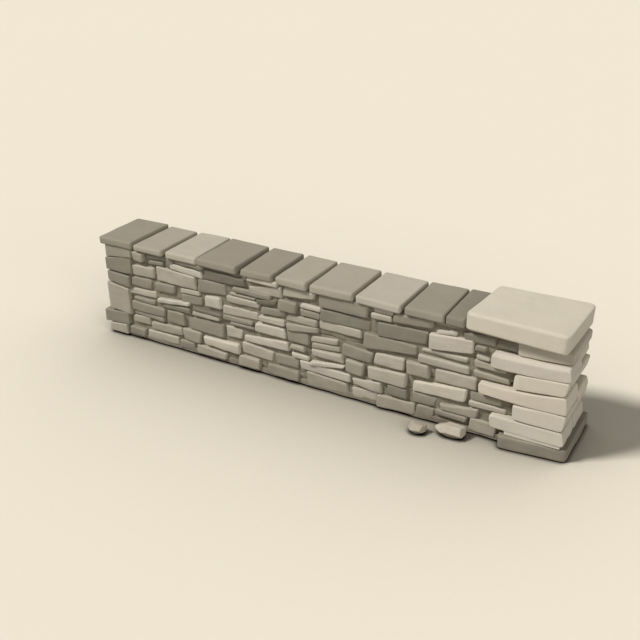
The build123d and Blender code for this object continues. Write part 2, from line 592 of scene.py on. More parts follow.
    def round_corners(
        self, points: np.ndarray, half: np.ndarray, radius: float, worn: float, axes: tuple[int, int]
    ) -> np.ndarray:
        """Round the four corners of a block further, as seen along its third axis.

        Args:
            points: the block's points about its middle.
            half: half its size on each axis.
            radius: the corners' radius, or 0 to leave them.
            worn: the radius that its arrises already have.
            axes: the two axes across which the corners are seen.

        Returns:
            The points with the corners rounded.
        """
        if radius == 0:
            return points
        pair = list(axes)
        sign = np.sign(points[:, pair])
        inner = half[pair] - radius
        past = np.maximum(np.abs(points[:, pair]) - inner, 0)
        length = np.maximum(np.linalg.norm(past, axis=1), TINY)
        # How far out each point lies between the corner's centre and the block's present corner.
        centre = max(radius - worn, 0)
        total = past.sum(axis=1)
        within = np.maximum((centre * total) ** 2 - length**2 * (2 * centre**2 - worn**2), 0)
        stretch = (centre * total + np.sqrt(within)) / length**2
        on_arris = stretch * past.min(axis=1) > centre
        outness = np.where(on_arris, radius / np.maximum(stretch, TINY), past.max(axis=1))
        moved = points.copy()
        kept = np.minimum(np.abs(points[:, pair]), inner)
        moved[:, pair] = sign * (kept + past * (outness / length)[:, None])
        return moved


# --- Finishes ----------------------------------------------------------------------------------
class Blend(Enum):
    """How one colour is laid over another, as the mix node names it."""

    MIX = "MIX"
    MULTIPLY = "MULTIPLY"
    SCREEN = "SCREEN"


@dataclass(frozen=True)
class NodeGraph:
    """The nodes of one material, or of the sky, and the steps that finishes are made of."""

    tree: bpy.types.NodeTree

    def add(self, kind: str, inputs: dict[str | int, object], **options: str) -> bpy.types.Node:
        """Add one node.

        Args:
            kind: which node it is: its type's name after "ShaderNode".
            inputs: what goes into each input, by name or number: a socket to link, or a value.
            options: the node's own settings.

        Returns:
            The node.
        """
        node = self.tree.nodes.new(f"ShaderNode{kind}")
        for option, value in options.items():
            setattr(node, option, value)
        self.fill(node, inputs)
        return node

    def fill(self, node: bpy.types.Node, inputs: dict[str | int, object]) -> None:
        """Link or set a node's inputs.

        Args:
            node: the node.
            inputs: what goes into each input, by name or number: a socket to link, or a value.
        """
        for place, value in inputs.items():
            if isinstance(value, Socket):
                self.tree.links.new(value, node.inputs[place])
            else:
                node.inputs[place].default_value = value

    def attribute(self, name: str, output: str) -> Socket:
        """One of the mesh's own facts, from the output that carries its kind."""
        return self.add("Attribute", {}, attribute_name=name).outputs[output]

    def noise(self, place: Socket, scale: float, detail: float, roughness: float) -> Socket:
        """A cloudy field, 0 to 1: its features to a metre, its finer layers, and how strong those are."""
        inputs = {"Vector": place, "Scale": scale, "Detail": detail, "Roughness": roughness}
        return self.add("TexNoise", inputs).outputs["Fac"]

    def ranged(self, value: Socket, source: tuple[float, float], target: tuple[float, float]) -> Socket:
        """Spread the source range of a field over the target range, and hold it at both ends."""
        ends = {"From Min": source[0], "From Max": source[1], "To Min": target[0], "To Max": target[1]}
        return self.add("MapRange", {"Value": value, **ends}).outputs["Result"]

    def number(self, operation: str, first: Socket, second: Socket | float) -> Socket:
        """One sum on two numbers."""
        return self.add("Math", {0: first, 1: second}, operation=operation).outputs["Value"]

    def vector(self, operation: str, first: Socket, second: Socket | Tint) -> Socket:
        """One sum on two vectors."""
        return self.add("VectorMath", {0: first, 1: second}, operation=operation).outputs["Vector"]

    def scaled(self, colour: Socket, amount: Socket) -> Socket:
        """A colour made lighter or darker by a number."""
        return self.add("VectorMath", {0: colour, "Scale": amount}, operation="SCALE").outputs["Vector"]

    def mixed(self, share: Socket, under: Socket | Tint, over: Tint, blend: Blend) -> Socket:
        """Lay one colour over another.

        Args:
            share: how much of the upper one shows, 0 to 1.
            under: the lower one.
            over: the upper one, linear.
            blend: how it is laid on.

        Returns:
            The socket that carries the new colour.
        """
        lower = under if isinstance(under, Socket) else (*under, 1)
        colours = {0: share, MIX_UNDER: lower, MIX_OVER: (*over, 1)}
        return self.add("Mix", colours, data_type="RGBA", blend_type=blend.value).outputs[MIX_RESULT]

    def bump(self, height: Socket, depth: float, under: Socket | None = None) -> Socket:
        """Turn a field into relief.

        Args:
            height: the field, 0 to 1.
            depth: how deep it is in metres.
            under: relief that this one lies on, if any.

        Returns:
            The socket that carries the bent normal.
        """
        inputs = {"Strength": 1.0, "Distance": depth, "Height": height}
        if under is not None:
            inputs["Normal"] = under
        return self.add("Bump", inputs).outputs["Normal"]

    def seen_straight(self) -> Socket:
        """1 where a surface is seen itself, also mirrored or through glass, and 0 where it only lights.

        Returns:
            The socket that carries it.
        """
        path = self.add("LightPath", {}).outputs
        mirrored = self.number("MAXIMUM", path["Is Glossy Ray"], path["Is Transmission Ray"])
        return self.number("MAXIMUM", path["Is Camera Ray"], mirrored)


def new_material(name: str) -> tuple[bpy.types.Material, NodeGraph, bpy.types.Node]:
    """Start a material.

    Args:
        name: its name.

    Returns:
        The material, its nodes and its shader.
    """
    made = bpy.data.materials.new(name)
    made.use_nodes = True
    return made, NodeGraph(made.node_tree), made.node_tree.nodes["Principled BSDF"]


@dataclass(frozen=True)
class StoneFinish:
    """A stone surface: mottled, bedded, grained and gritty, with its upper arrises painted lighter as a
    highlight, in some finishes darker as shade.

    A scale is how many features a metre holds. Tints are linear, and depths are in metres. The other
    numbers are shares of 1, but for the flatness of the beds.

    Attributes:
        name: the material's name.
        mottle: how much paler and darker the stone is in clouds.
        mottle_scale: how fine the clouds are.
        bedding: how much paler and darker it is from bed to bed of the rock.
        bedding_scale: how fine the beds are along the stone.
        bedding_flatness: how many times as wide as high they are.
        grain: how much paler and darker it is from grain to grain.
        grain_scale: how fine the grain is.
        grain_depth: how deep it is.
        drift: how rusty the stone is, all in all.
        drift_scale: how quickly that changes from place to place.
        rust_tint: what rust leaves of each colour channel.
        speck: how strongly the dark grit shows.
        speck_scale: how closely it lies.
        speck_reach: where a speck begins to fade and where it ends, against the distance between specks.
        grit_tint: what grit leaves of each colour channel.
        arris_shading: how strongly the upper arrises are painted for how the light falls on them.
        arris_shading_play: how much that is broken up.
        arris_tint: the colour laid over an upper arris: a pale one screened on is a painted highlight, a dark
            one multiplied in is painted shade.
        arris_blend: how it is laid on.
        roughness: how matt the stone is.
        rough_play: how much that changes from grain to grain.
        gloss: how strongly it shines.
        pit_depth: how deep its pits are.
        pit_scale: how closely they lie.
    """

    name: str
    mottle: float = 0.10
    mottle_scale: float = 7.0
    bedding: float = 0.05
    bedding_scale: float = 6.0
    bedding_flatness: float = 9.0
    grain: float = 0.07
    grain_scale: float = 150.0
    grain_depth: float = 0.0006
    drift: float = 0.05
    drift_scale: float = 3.1
    rust_tint: Tint = (1.0, 0.86, 0.68)
    speck: float = 0.10
    speck_scale: float = 135.0
    speck_reach: tuple[float, float] = (0.12, 0.26)
    grit_tint: Tint = (0.55, 0.5, 0.44)
    arris_shading: float = 0.07
    arris_shading_play: float = 0.65
    arris_tint: Tint = (0.86, 0.80, 0.68)
    arris_blend: Blend = Blend.SCREEN
    roughness: float = 0.9
    rough_play: float = 0.07
    gloss: float = 0.22
    pit_depth: float = 0.0022
    pit_scale: float = 34.0

    def material(self) -> bpy.types.Material:
        """Build the finish as a node material.

        Returns:
            The material.
        """
        made, graph, shader = new_material(self.name)
        spot = graph.add("TexCoord", {}).outputs["Object"]
        place = graph.vector("ADD", spot, graph.attribute("grain_shift", "Vector"))
        mottle = graph.noise(place, self.mottle_scale, detail=5, roughness=0.6)
        flattened = graph.vector("MULTIPLY", place, (1, 1, self.bedding_flatness))
        bedding = graph.noise(flattened, self.bedding_scale, detail=3, roughness=0.5)
        grain = graph.noise(place, self.grain_scale, detail=3, roughness=0.7)
        colour = graph.attribute("stone_colour", "Color")
        for cloud, play in ((mottle, self.mottle), (bedding, self.bedding), (grain, self.grain)):
            colour = graph.scaled(colour, graph.ranged(cloud, CLOUD_MIDDLE, around(1, play)))
        # Rust and grit are the stone's own; the last layer is painted light on the upper arrises.
        layers = (
            (self._rust(graph, place), self.rust_tint, Blend.MULTIPLY),
            (self._grit(graph, place), self.grit_tint, Blend.MULTIPLY),
            (self._painted_arris_share(graph, mottle), self.arris_tint, self.arris_blend),
        )
        for share, tint, blend in layers:
            colour = graph.mixed(share, colour, tint, blend)
        pits = graph.noise(place, self.pit_scale, detail=6, roughness=0.62)
        inputs = {
            "Base Color": colour,
            "Roughness": graph.ranged(grain, CLOUD_MIDDLE, around(self.roughness, self.rough_play)),
            "Specular IOR Level": self.gloss,
            "Normal": graph.bump(grain, self.grain_depth, graph.bump(pits, self.pit_depth)),
        }
        graph.fill(shader, inputs)
        return made

    def _rust(self, graph: NodeGraph, place: Socket) -> Socket:
        """How rusty the stone is, which drifts from place to place."""
        cloud = graph.noise(place, self.drift_scale, detail=2, roughness=0.5)
        return graph.ranged(cloud, CLOUD_MIDDLE, around(self.drift, self.drift))

    def _grit(self, graph: NodeGraph, place: Socket) -> Socket:
        """Where the fine dark grit lies."""
        apart = graph.add("TexVoronoi", {"Vector": place, "Scale": self.speck_scale}).outputs["Distance"]
        return graph.ranged(apart, self.speck_reach, (self.speck, 0))

    def _painted_arris_share(self, graph: NodeGraph, mottle: Socket) -> Socket:
        """How strongly painted light lies on the upper arrises, broken up as the mottle is."""
        broken = graph.ranged(mottle, CLOUD_MIDDLE, around(self.arris_shading, self.arris_shading * self.arris_shading_play))
        return graph.number("MULTIPLY", graph.attribute("painted_arris_mask", "Fac"), broken)


@dataclass(frozen=True)
class FloorFinish:
    """The studio floor: one pale matt colour, with painted shade close to whatever stands on it.

    Attributes:
        name: the material's name.
        colour: the colour that it shows.
        bounce: the darker colour that it throws back at what stands on it.
        painted_contact_shade: pairs of how far from a thing the floor is painted darker, in metres, and how
            dark it gets.
    """

    name: str
    colour: Paint
    bounce: Paint = (160, 154, 142)
    painted_contact_shade: tuple[tuple[float, float], ...] = ((4.0, 1.04), (0.04, 1.35))

    def material(self) -> bpy.types.Material:
        """Build the finish as a node material.

        Returns:
            The material.
        """
        made, graph, shader = new_material(self.name)
        colour = graph.mixed(graph.seen_straight(), linear(self.bounce), linear(self.colour), Blend.MIX)
        # Painted shade: the floor is darkened by how much of its view things near it hide.
        for reach, depth in self.painted_contact_shade:
            openness = graph.add("AmbientOcclusion", {"Distance": reach}).outputs["AO"]
            share = graph.ranged(openness, (0, 1), (1 - depth, 1))
            colour = graph.scaled(colour, graph.number("MAXIMUM", share, 0.0))
        graph.fill(shader, {"Base Color": colour, "Roughness": 1.0, "Specular IOR Level": 0.0})
        return made


# A pale tint screened onto the upper arrises, as in the rubble, plinth and quoin finishes, is a painted
# highlight.
RUBBLE_FINISH = StoneFinish("rubble_stone_split", mottle=0.06, drift=0.03, arris_shading=0.02)
PACKING_FINISH = StoneFinish(
    "hearting_stone_broken", mottle=0.16, mottle_scale=16.0, arris_shading=0.0, pit_depth=0.005
)
# The coping and the pier take a dark tint multiplied into their upper arrises: painted shade that takes back
# the highlight the lamps leave along a rounded arris.
COPING_FINISH = StoneFinish(
    "coping_stone_shaded_arrises", mottle=0.035, mottle_scale=5.0, bedding=0.02, drift=0.03, arris_shading=0.24,
    arris_tint=(0.60, 0.57, 0.51), arris_blend=Blend.MULTIPLY, pit_depth=0.0014,
)
PIER_FINISH = replace(COPING_FINISH, name="pier_stone_dressed", mottle=0.03, bedding=0.015, arris_shading=0.22)
PLINTH_FINISH = StoneFinish("plinth_stone_dressed", mottle=0.05, drift=0.02, arris_shading=0.01)
QUOIN_FINISH = StoneFinish("quoin_stone_dressed", mottle=0.05, drift=0.03, arris_shading=0.02)
FALLEN_FINISH = StoneFinish("fallen_stone_broken", mottle=0.08, mottle_scale=12.0, arris_shading=0.0)


# --- Laying the stones -------------------------------------------------------------------------
@dataclass(frozen=True)
class FaceStone:
    """One stone of a rubble face.

    Attributes:
        shape: its elevation, in metres, counted along the wall from the far end.
        tone: the bed of stone that it comes from.
        proud: how far it stands out from its neighbours.
    """

    shape: Outline
    tone: Tone
    proud: float = 0.0

    @property
    def middle(self) -> float:
        """Half way between its lowest and its highest corner."""
        return (self.shape.lowest[1] + self.shape.highest[1]) / 2


# The front face from the far end to the pier, in millimetres: left and right from the far end, then
# bed and top at the left end and bed and top at the right end, above the ground. A last number is how
# far the stone stands out from its neighbours. Each tone was read from how bright the stone looks, so
# the dark tones of the stones right under the coping and the cap are partly painted shade, and the
# CREAM of the stone from 1610 to 1920 is partly painted light where the coping's shadow falls.
FRONT_SURVEY = (
    (345, 460, 835, 925, 830, 920, Tone.DUN, 12),
    (520, 690, 820, 850, 830, 868, Tone.SLATE),
    (500, 720, 877, 912, 885, 925, Tone.SLATE),
    (728, 800, 835, 925, 835, 925, Tone.SLATE),
    (820, 1130, 888, 930, 888, 930, Tone.UMBER),
    (770, 1120, 832, 875, 800, 865, Tone.ROSE),
    (605, 1045, 680, 825, 675, 800, Tone.BUFF),
    (315, 575, 675, 768, 680, 790, Tone.BUFF),
    (295, 525, 560, 645, 555, 655, Tone.UMBER),
    (580, 800, 565, 650, 575, 660, Tone.UMBER),
    (870, 1080, 610, 650, 622, 662, Tone.BUFF),
    (875, 1100, 505, 595, 530, 610, Tone.UMBER),
    (250, 570, 475, 522, 480, 543, Tone.BUFF),
    (600, 960, 455, 495, 490, 525, Tone.ROSE),
    (620, 970, 415, 452, 420, 465, Tone.SLATE),
    (300, 560, 405, 442, 412, 452, Tone.UMBER),
    (280, 670, 312, 398, 308, 390, Tone.UMBER),
    (300, 650, 266, 302, 252, 298, Tone.UMBER),
    (690, 892, 265, 390, 272, 400, Tone.UMBER),
    (275, 475, 178, 242, 170, 248, Tone.DUN),
    (495, 860, 140, 215, 168, 238, Tone.DUN),
    (225, 410, 40, 125, 34, 120, Tone.UMBER),
    (435, 800, 45, 122, 60, 136, Tone.BUFF),
    (815, 985, 36, 115, 40, 120, Tone.UMBER),
    (870, 1065, 138, 255, 135, 252, Tone.DUN),
    (945, 1330, 260, 385, 262, 400, Tone.UMBER),
    (1025, 1355, 28, 122, 46, 105, Tone.DUN),
    (1115, 1500, 148, 225, 130, 236, Tone.CREAM),
    (1130, 1580, 805, 900, 830, 892, Tone.FLINT),
    (1075, 1372, 665, 795, 688, 790, Tone.UMBER),
    (1610, 1920, 900, 935, 895, 942, Tone.CREAM, 20),
    (1620, 1950, 800, 835, 800, 900, Tone.BUFF),
    (1460, 1845, 758, 803, 758, 800, Tone.UMBER),
    (1415, 1690, 713, 736, 720, 740, Tone.BUFF),
    (1700, 1905, 698, 732, 730, 770, Tone.FLINT),
    (1385, 1715, 635, 695, 640, 695, Tone.BUFF),
    (1145, 1320, 545, 645, 545, 650, Tone.ROSE),
    (1335, 1700, 508, 600, 532, 600, Tone.BUFF),
    (1335, 1650, 452, 495, 464, 500, Tone.UMBER),
    (1410, 1660, 422, 444, 424, 446, Tone.UMBER),
    (1000, 1320, 462, 495, 462, 495, Tone.FLINT),
    (1000, 1300, 415, 455, 430, 458, Tone.DUN),
    (1360, 1528, 285, 385, 295, 390, Tone.BUFF),
    (1555, 2020, 288, 345, 308, 395, Tone.ROSE),
    (1975, 2278, 825, 910, 860, 920, Tone.BUFF),
    (1925, 2098, 685, 785, 685, 785, Tone.UMBER),
    (2145, 2340, 755, 795, 755, 797, Tone.ROSE),
    (2140, 2330, 685, 737, 685, 735, Tone.UMBER),
    (1745, 1975, 612, 670, 618, 680, Tone.UMBER),
    (1725, 1985, 540, 590, 545, 592, Tone.BUFF),
    (2010, 2300, 605, 666, 605, 664, Tone.DUN),
    (2005, 2310, 522, 575, 560, 598, Tone.DUN),
    (1685, 1985, 425, 510, 425, 512, Tone.ROSE),
    (2005, 2217, 415, 515, 415, 515, Tone.UMBER),
    (2045, 2190, 345, 385, 345, 388, Tone.DUN),
    (2055, 2220, 264, 306, 264, 306, Tone.ROSE),
    (1535, 1850, 165, 275, 150, 245, Tone.BUFF),
    (1885, 2120, 155, 245, 155, 247, Tone.UMBER),
    (1500, 1715, 28, 135, 28, 135, Tone.DUN),
    (1800, 2120, 28, 126, 28, 126, Tone.UMBER),
    (2325, 2770, 805, 930, 805, 930, Tone.UMBER),
    (2335, 2800, 690, 790, 690, 790, Tone.SLATE),
    (2325, 2720, 600, 690, 615, 680, Tone.BUFF),
    (2820, 3000, 885, 930, 885, 930, Tone.ROSE),
    (2810, 2990, 828, 870, 830, 875, Tone.BUFF),
    (3005, 3338, 845, 920, 855, 930, Tone.UMBER),
    (2870, 3300, 675, 800, 705, 816, Tone.SLATE),
    (2745, 3215, 540, 672, 585, 660, Tone.UMBER),
    (2245, 2497, 465, 515, 485, 535, Tone.BUFF),
    (2250, 2512, 402, 446, 428, 465, Tone.DUN),
    (2255, 2550, 340, 395, 330, 400, Tone.BUFF),
    (2235, 2570, 235, 268, 292, 320, Tone.ROSE),
    (2135, 2625, 165, 250, 168, 232, Tone.ROSE),
    (2205, 2600, 24, 155, 45, 142, Tone.DUN),
    (2545, 2830, 405, 520, 405, 500, Tone.UMBER),
    (2585, 2747, 265, 385, 265, 385, Tone.DUN),
    (2850, 3110, 405, 515, 410, 525, Tone.BUFF),
    (3135, 3328, 405, 515, 405, 515, Tone.DUN),
    (2795, 3142, 270, 365, 260, 385, Tone.BUFF),
    (2648, 2917, 178, 210, 142, 245, Tone.BUFF),
    (2975, 3150, 160, 245, 160, 245, Tone.SLATE),
    (2645, 2880, 30, 120, 36, 135, Tone.BUFF),
    (2885, 3225, 22, 135, 26, 130, Tone.DUN),
    (3240, 3385, 26, 135, 26, 135, Tone.UMBER),
    (3200, 3400, 155, 245, 155, 245, Tone.UMBER),
    (3205, 3660, 260, 350, 288, 405, Tone.CREAM),
    (3260, 3640, 642, 665, 635, 680, Tone.BUFF),
    (3235, 3660, 540, 605, 540, 600, Tone.BUFF),
    (3320, 3680, 680, 820, 728, 838, Tone.ROSE),
    (3375, 3540, 830, 855, 842, 880, Tone.ROSE),
    (3370, 3550, 910, 932, 910, 932, Tone.DUN),
    (3385, 3735, 400, 510, 415, 515, Tone.BUFF),
    (3700, 3785, 765, 805, 765, 805, Tone.UMBER),
    (3715, 3825, 695, 730, 695, 716, Tone.BUFF),
    (3705, 3955, 625, 685, 630, 665, Tone.DUN),
    (3705, 3985, 540, 590, 535, 575, Tone.DUN),
    (3600, 3845, 825, 895, 825, 895, Tone.SLATE),
    (3865, 4020, 830, 905, 830, 905, Tone.FLINT),
    (3695, 3935, 325, 405, 330, 390, Tone.UMBER),
    (3685, 3985, 265, 315, 265, 305, Tone.BUFF),
    (3445, 3755, 165, 205, 160, 245, Tone.DUN),
    (3405, 3675, 100, 145, 100, 145, Tone.UMBER),
    (3705, 3920, 48, 155, 36, 140, Tone.DUN),
)


@dataclass
class RubbleFace:
    """One face of the wall: split stones laid dry, in a lower and an upper lift.

    Attributes:
        side: which face it is.
        seed: what fixes its chances.
        stones: the stones to lay.
        stone_depth: how far a stone reaches into the wall.
        depth_play: how much deeper or shallower it may be.
        proud_play: how far it may stand out or lie back.
        turn_play: how far it may be turned in plan, in degrees.
        nod_play: how far its face may nod forward or back, in degrees.
        tightness: how much each stone grows into the joints round it.
        end_lean: how far its ends may lean.
        dressing: how the stones are worked.
    """

    side: Side
    seed: int
    stones: list[FaceStone]
    stone_depth: float = 0.150
    depth_play: float = 0.016
    proud_play: float = 0.011
    turn_play: float = 2.4
    nod_play: float = 3.2
    tightness: float = 0.006
    end_lean: float = 0.009
    dressing: Dressing = Dressing(face_round=0.026, chip_depth=0.016, shade_play=0.015, brightness_kept=0.90)

    def __post_init__(self) -> None:
        """Read the face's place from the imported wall."""
        low, high = box_of(self.node("lower"))
        self.face_y = low.y if self.side is Side.FRONT else high.y
        self.lift = high.z

    def node(self, lift: str) -> str:
        """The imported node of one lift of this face."""
        return f"{self.side.name.lower()}_face_{lift}"

    def lay(self, cutter: StoneCutter, stone: FaceStone) -> StoneMesh:
        """Cut and place one stone of the face.

        Args:
            cutter: what cuts it.
            stone: which stone it is.

        Returns:
            The stone's mesh.
        """
        outward = self.side.value
        outer = self.face_y + outward * (stone.proud + cutter.spread(self.proud_play))
        inner = outer - outward * (self.stone_depth + cutter.spread(self.depth_play))
        shape = self.tightened(stone.shape.moved(far_end()), cutter)
        low = Vector((shape.lowest[0], min(outer, inner), shape.lowest[1]))
        high = Vector((shape.highest[0], max(outer, inner), shape.highest[1]))
        pose = cutter.askew(self.turn_play, self.nod_play, 0.0)
        return cutter.cut(low, high, stone.tone, self.dressing, shape, pose)

    def tightened(self, shape: Outline, cutter: StoneCutter) -> Outline:
        """Grow an outline so that the stones lie as close as dry stones do, and let its ends lean.

        Args:
            shape: the outline.
            cutter: where the chances come from.

        Returns:
            The grown outline.
        """
        grow = self.tightness
        left, right = cutter.spread(self.end_lean), cutter.spread(self.end_lean)
        return Outline(
            (shape.bed_left[0] - grow + left, shape.bed_left[1] - grow),
            (shape.top_left[0] - grow - left, shape.top_left[1] + grow),
            (shape.bed_right[0] + grow + right, shape.bed_right[1] - grow),
            (shape.top_right[0] + grow - right, shape.top_right[1] + grow),
        )

    def build(self) -> None:
        """Lay every stone and make one piece of each lift."""
        cutter = StoneCutter(self.seed)
        lifts: dict[str, list[StoneMesh]] = {"lower": [], "upper": []}
        for stone in self.stones:
            lifts["lower" if stone.middle < self.lift else "upper"].append(self.lay(cutter, stone))
        material = RUBBLE_FINISH.material()
        for lift, meshes in lifts.items():
            node = self.node(lift)
            piece = StoneMesh.joined(meshes).piece(f"{node}_stones", "rubble_stone", material)
            stand_for(piece, node)


def surveyed_stones() -> list[FaceStone]:
    """Read the survey of the front face.

    Returns:
        Its stones, in metres.
    """
    stones = []
    for row in FRONT_SURVEY:
        left, right, *heights = (size * MM for size in row[:6])
        stones.append(FaceStone(sloping(left, right, tuple(heights)), row[6], sum(row[7:]) * MM))
    return stones


@dataclass
class CourseLayer:
    """Lays out random-coursed rubble for a face that has no survey.

    Attributes:
        seed: what fixes its chances.
        courses: how many courses it has.
        joint: how wide its joints are before the stones are tightened.
        height_range: how tall the courses are against one another.
        length_range: how long the stones are.
        split_share: how many of the tall enough cells hold two thin stones.
        split_height: how tall a cell has to be for that.
        split_range: where in the cell the joint between the two lies.
        tilt: how far that joint may slope, as a share of the cell's height.
        ragged: how much shorter than its cell a stone may be.
        wander: how far the bed joints rise and fall.
        swing: how quickly their long and their short waves turn, in radians a metre.
        ripple: how high the short waves are against the long ones.
        tones: the beds of stone that it draws from.
    """

    seed: int = 41
    courses: int = 7
    joint: float = 0.014
    height_range: tuple[float, float] = (0.75, 1.25)
    length_range: tuple[float, float] = (0.17, 0.46)
    split_share: float = 0.34
    split_height: float = 0.1
    split_range: tuple[float, float] = (0.38, 0.62)
    tilt: float = 0.06
    ragged: float = 0.018
    wander: float = 0.016
    swing: tuple[float, float] = (3.1, 7.3)
    ripple: float = 0.6
    tones: tuple[Tone, ...] = (Tone.UMBER, Tone.UMBER, Tone.DUN, Tone.DUN, Tone.BUFF, Tone.ROSE)

    def ends_at(self, middle: float) -> tuple[float, float]:
        """Find how far the face runs at a height, between the quoins and the pier.

        Args:
            middle: the height above the ground.

        Returns:
            Where it starts and where it stops, from the far end.
        """
        quoins = [box_of(node) for node in QUOIN_NODES]
        pier = [box_of(node) for node in PIER_NODES]
        left = max(high.x for low, high in quoins if low.z <= middle <= high.z)
        right = min(low.x for low, high in pier if low.z <= middle <= high.z)
        return left - far_end(), right - far_end()

    def stones(self) -> list[FaceStone]:
        """Lay out the whole face.

        Returns:
            Its stones, course by course from the ground.
        """
        dice = np.random.default_rng(self.seed)
        top = box_of("coping_slab_01")[0].z
        shares = dice.uniform(*self.height_range, self.courses)
        levels = np.concatenate([[0], np.cumsum(shares)]) / shares.sum() * top
        phases = dice.uniform(0, 2 * math.pi, (self.courses + 1, 2))

        def level(index: int, along: float) -> float:
            """Follow one bed joint along the wall.

            Args:
                index: which joint it is, from the ground up.
                along: how far along the wall.

            Returns:
                How high it lies there.
            """
            if index in (0, self.courses):
                return float(levels[index])
            long_wave = self.wander * math.sin(along * self.swing[0] + phases[index][0])
            short_wave = self.ripple * self.wander * math.sin(along * self.swing[1] + phases[index][1])
            return float(levels[index] + long_wave + short_wave)

        laid: list[FaceStone] = []
        for course in range(self.courses):
            left_end, right_end = self.ends_at((levels[course] + levels[course + 1]) / 2)
            lengths = []
            while sum(lengths) < right_end - left_end:
                lengths.append(dice.uniform(*self.length_range))
            lengths = np.array(lengths) * (right_end - left_end) / sum(lengths)
            stops = left_end + np.concatenate([[0], np.cumsum(lengths)])
            for ends in zip(stops[:-1], stops[1:]):
                corners = [level(course + up, along) for along in ends for up in (0, 1)]
                laid += self._cell(dice, ends, corners)
        return laid

    def _cell(
        self, dice: np.random.Generator, ends: tuple[float, float], corners: list[float]
    ) -> list[FaceStone]:
        """Fill one cell of a course with one stone, or with two thin ones.

        Args:
            dice: where the chances come from.
            ends: the cell's left and right end.
            corners: bed and top at the left end, then at the right end.

        Returns:
            The cell's stones.
        """
        half = self.joint / 2
        bed_left, top_left, bed_right, top_right = corners
        rise_left, rise_right = top_left - bed_left, top_right - bed_right
        thin = min(rise_left, rise_right) > self.split_height and dice.random() < self.split_share
        cuts = [0.0, float(dice.uniform(*self.split_range)), 1.0] if thin else [0.0, 1.0]
        made = []
        for lower, upper in zip(cuts[:-1], cuts[1:]):
            tilt = float(dice.uniform(-self.tilt, self.tilt)) if thin else 0.0
            bed_tilt, top_tilt = (tilt if lower > 0 else 0.0), (tilt if upper < 1 else 0.0)
            heights = (
                bed_left + rise_left * (lower + bed_tilt) + half,
                bed_left + rise_left * (upper + top_tilt) - half,
                bed_right + rise_right * (lower - bed_tilt) + half,
                bed_right + rise_right * (upper - top_tilt) - half,
            )
            short = float(dice.uniform(0.0, self.ragged))
            tone = self.tones[dice.integers(len(self.tones))]
            made.append(FaceStone(sloping(ends[0] + half, ends[1] - half - short, heights), tone))
        return made


@dataclass
class Hearting:
    """The broken stone packed between the two faces, seen only down the open joints.

    Attributes:
        seed: what fixes its chances.
        recess: how far it lies behind the rubble faces.
        lap: how far it reaches into the quoins and the pier, so that no light shows.
        overlap: how far its two halves pass each other at the wall's middle.
        bed_lap: how far each layer runs past its beds.
        footing: how high above the ground it starts.
        bands: two flat bands at its foot: how far each lies back, its bed and its crown.
        dressing: how it is worked.
        band_dressing: how the bands are worked.
    """

    seed: int = 5
    recess: float = 0.024
    lap: float = 0.02
    overlap: float = 0.01
    bed_lap: float = 0.004
    footing: float = 0.014
    bands: tuple[tuple[float, float, float], ...] = ((0.010, 0.014, 0.066), (0.11, 0.003, 0.03))
    dressing: Dressing = Dressing(
        edge_round=0.012, cell=0.03, corner_play=0.002, wave=0.004, wave_length=0.09, chips=0
    )
    band_dressing: Dressing = Dressing(
        edge_round=0.006, cell=0.03, corner_play=0.001, wave=0.002, wave_length=0.12, chips=0
    )

    def build(self) -> None:
        """Pack the space behind the faces, level with each course of the pier and of the quoins."""
        cutter = StoneCutter(self.seed)
        front, back = box_of("front_face_lower")[0].y, box_of("back_face_lower")[1].y
        top = box_of("coping_slab_01")[0].z
        stones = []
        for node in QUOIN_NODES + PIER_NODES:
            low, high = box_of(node)
            left, right = -self.overlap, low.x + self.lap
            if node in QUOIN_NODES:
                left, right = high.x - self.lap, self.overlap
            near = Vector((left, front + self.recess, max(low.z, self.footing) - self.bed_lap))
            far = Vector((right, back - self.recess, min(high.z + self.bed_lap, top)))
            stones.append(cutter.cut(near, far, Tone.PACKING, self.dressing))
        left, right = box_of("end_quoin_1")[1].x - self.lap, box_of("pier_plinth")[0].x + self.lap
        for recess, bed, crown in self.bands:
            near, far = Vector((left, front + recess, bed)), Vector((right, back - recess, crown))
            stones.append(cutter.cut(near, far, Tone.PACKING, self.band_dressing))
        piece = StoneMesh.joined(stones).piece("hearting_packed", "hearting_stone", PACKING_FINISH.material())
        stand_for(piece, "hearting")


